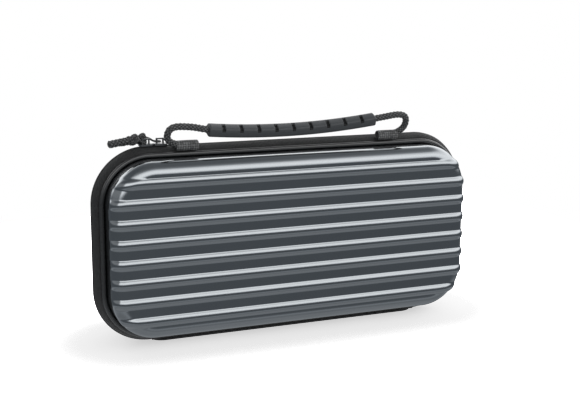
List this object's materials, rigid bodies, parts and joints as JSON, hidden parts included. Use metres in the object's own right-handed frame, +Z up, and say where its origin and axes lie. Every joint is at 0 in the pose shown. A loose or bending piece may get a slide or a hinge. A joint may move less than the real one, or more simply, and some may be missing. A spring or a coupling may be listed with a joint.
{
  "type": "portable game console case",
  "caption": "Ribbed hard-shell zip case with a rope handle that holds a handheld game console behind a strap and small items in a lid pocket.",
  "frame": {"origin": "on the floor under the middle of the zip plane, with the case standing on its hinge edge", "axes": "+X along the case's long side, +Y from the lid at the front to the base at the back, +Z up"},
  "size_m": [0.272, 0.0564, 0.1486],
  "materials": {
    "shell": "satin metallic",
    "rim_fabric": "woven",
    "piping": "gloss",
    "zip_coil": "satin",
    "lining": "brushed",
    "tray": "flocked",
    "strap": "hook and loop",
    "pocket": "mesh weave",
    "hem": "elastic binding",
    "pad": "pleated",
    "webbing": "woven",
    "rope": "braided",
    "grip": "matt",
    "slider": "dark nickel",
    "pull_cord": "braided"
  },
  "bodies": {
    "base": {"base_shell": "shell", "base_rim": "rim_fabric", "base_piping": "piping", "base_zip_coil": "zip_coil", "base_lining": "lining", "inner_tray": "tray", "strap_loop": "strap", "strap_hook": "strap", "hinge_spine": "rim_fabric"},
    "lid": {"lid_shell": "shell", "lid_rim": "rim_fabric", "lid_piping": "piping", "lid_zip_coil": "zip_coil", "lid_lining": "lining", "lid_pocket": "pocket", "pocket_hem": "hem", "lid_pad": "pad", "handle_tab_left": "webbing", "handle_tab_right": "webbing"},
    "handle": {"handle_rope": "rope", "handle_grip": "grip"},
    "slider_left": {"slider_left": "slider"},
    "slider_right": {"slider_right": "slider"},
    "pull_left": {"pull_string_left": "pull_cord", "pull_cord_left": "pull_cord"},
    "pull_right": {"pull_string_right": "pull_cord", "pull_cord_right": "pull_cord"}
  },
  "joints": [
    {"name": "lid_hinge", "type": "hinge", "parent": "base", "child": "lid", "pos_m": [0, 0, 0], "axis": [1, 0, 0], "range_deg": [0, 180], "deforming": ["hinge_spine"]},
    {"name": "handle_swing", "type": "hinge", "parent": "lid", "child": "handle", "pos_m": [0, -0.0074, 0.13123], "axis": [1, 0, 0], "range_deg": [-15, 65]},
    {"name": "slider_left_turn", "type": "hinge", "parent": "base", "child": "slider_left", "pos_m": [-0.099, 0, 0.094], "axis": [0, -1, 0], "range_deg": [0, 80]},
    {"name": "slider_right_slide", "type": "slide", "parent": "base", "child": "slider_right", "axis": [1, 0, 0], "range_m": [0, 0.184]},
    {"name": "pull_left_swing", "type": "hinge", "parent": "slider_left", "child": "pull_left", "pos_m": [-0.0996, 0, 0.13385], "axis": [0, 1, 0], "range_deg": [0, 100]},
    {"name": "pull_right_swing", "type": "hinge", "parent": "slider_right", "child": "pull_right", "pos_m": [-0.0901, 0, 0.13385], "axis": [0, 1, 0], "range_deg": [0, 100]}
  ]
}
